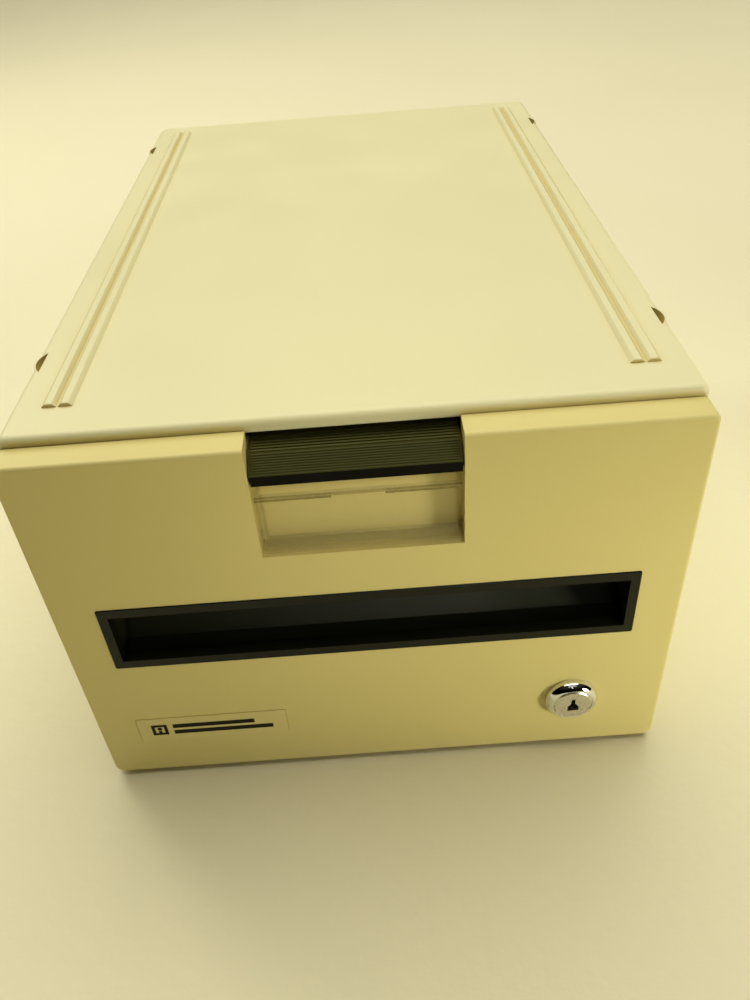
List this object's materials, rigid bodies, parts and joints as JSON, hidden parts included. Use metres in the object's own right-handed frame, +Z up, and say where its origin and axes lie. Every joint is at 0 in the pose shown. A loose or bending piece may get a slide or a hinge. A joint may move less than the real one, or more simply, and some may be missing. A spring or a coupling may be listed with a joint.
{
  "type": "diskette drawer file",
  "caption": "Stackable moulded case with a pull-out diskette drawer, thumb latch over a clear label holder, recessed finger pull, cam lock and tilting dividers.",
  "frame": {"origin": "centre of the underside of the bounding box, on the floor", "axes": "+Z up, the drawer front faces -Y and the drawer slides out along -Y, +X to the right seen from the front"},
  "size_m": [0.206, 0.3258, 0.1525],
  "materials": {
    "case_beige": "fine-textured moulded plastic",
    "front_beige": "fine-textured moulded plastic",
    "plate_beige": "printed plastic plate",
    "black_plastic": "satin moulded plastic",
    "runner_grey": "slippery moulded plastic",
    "divider_smoke": "smooth sheet plastic",
    "foot_rubber": "matt rubber",
    "clear_plastic": "clear acrylic",
    "lock_chrome": "polished",
    "lock_satin": "satin nickel",
    "lock_steel": "zinc plated",
    "spring_steel": "spring wire",
    "zinc_screw": "zinc plated"
  },
  "bodies": {
    "case": {"case_cover": "case_beige", "case_base": "case_beige", "runner_left": "runner_grey", "runner_right": "runner_grey", "case_screws": "zinc_screw", "foot_pads": "foot_rubber"},
    "drawer": {"drawer_front": "front_beige", "drawer_tray": "front_beige", "front_screws": "zinc_screw", "pull_bezel": "black_plastic", "pull_cup": "black_plastic", "label_holder": "clear_plastic", "nameplate": "plate_beige", "lock_housing": "lock_chrome", "lock_nut": "lock_steel", "rack_left": "runner_grey", "rack_right": "runner_grey", "latch_springs": "spring_steel"},
    "latch": {"latch_bar": "black_plastic"},
    "lock": {"lock_plug": "lock_satin", "lock_cam": "lock_steel", "cam_screw": "zinc_screw"},
    "divider_1": {"divider_1": "divider_smoke"},
    "divider_2": {"divider_2": "divider_smoke"},
    "divider_3": {"divider_3": "divider_smoke"},
    "divider_4": {"divider_4": "divider_smoke"}
  },
  "joints": [
    {"name": "drawer_slide", "type": "slide", "parent": "case", "child": "drawer", "axis": [0, -1, 0], "range_m": [0, 0.255]},
    {"name": "latch_press", "type": "hinge", "parent": "drawer", "child": "latch", "pos_m": [0, -0.15565, 0.137], "axis": [-1, 0, 0], "range_deg": [0, 9], "stiffness_Nm_per_rad": 0.08, "springref_deg": -11.46, "deforming": ["latch_springs"]},
    {"name": "lock_turn", "type": "hinge", "parent": "drawer", "child": "lock", "pos_m": [0.07, -0.15885, 0.0287], "axis": [0, 1, 0], "range_deg": [0, 90]},
    {"name": "divider_1_tilt", "type": "hinge", "parent": "drawer", "child": "divider_1", "pos_m": [0, -0.09885, 0.0151], "axis": [1, 0, 0], "range_deg": [0, 26]},
    {"name": "divider_2_tilt", "type": "hinge", "parent": "drawer", "child": "divider_2", "pos_m": [0, -0.03085, 0.0151], "axis": [1, 0, 0], "range_deg": [0, 26]},
    {"name": "divider_3_tilt", "type": "hinge", "parent": "drawer", "child": "divider_3", "pos_m": [0, 0.03715, 0.0151], "axis": [1, 0, 0], "range_deg": [0, 26]},
    {"name": "divider_4_tilt", "type": "hinge", "parent": "drawer", "child": "divider_4", "pos_m": [0, 0.10515, 0.0151], "axis": [1, 0, 0], "range_deg": [0, 26]}
  ]
}
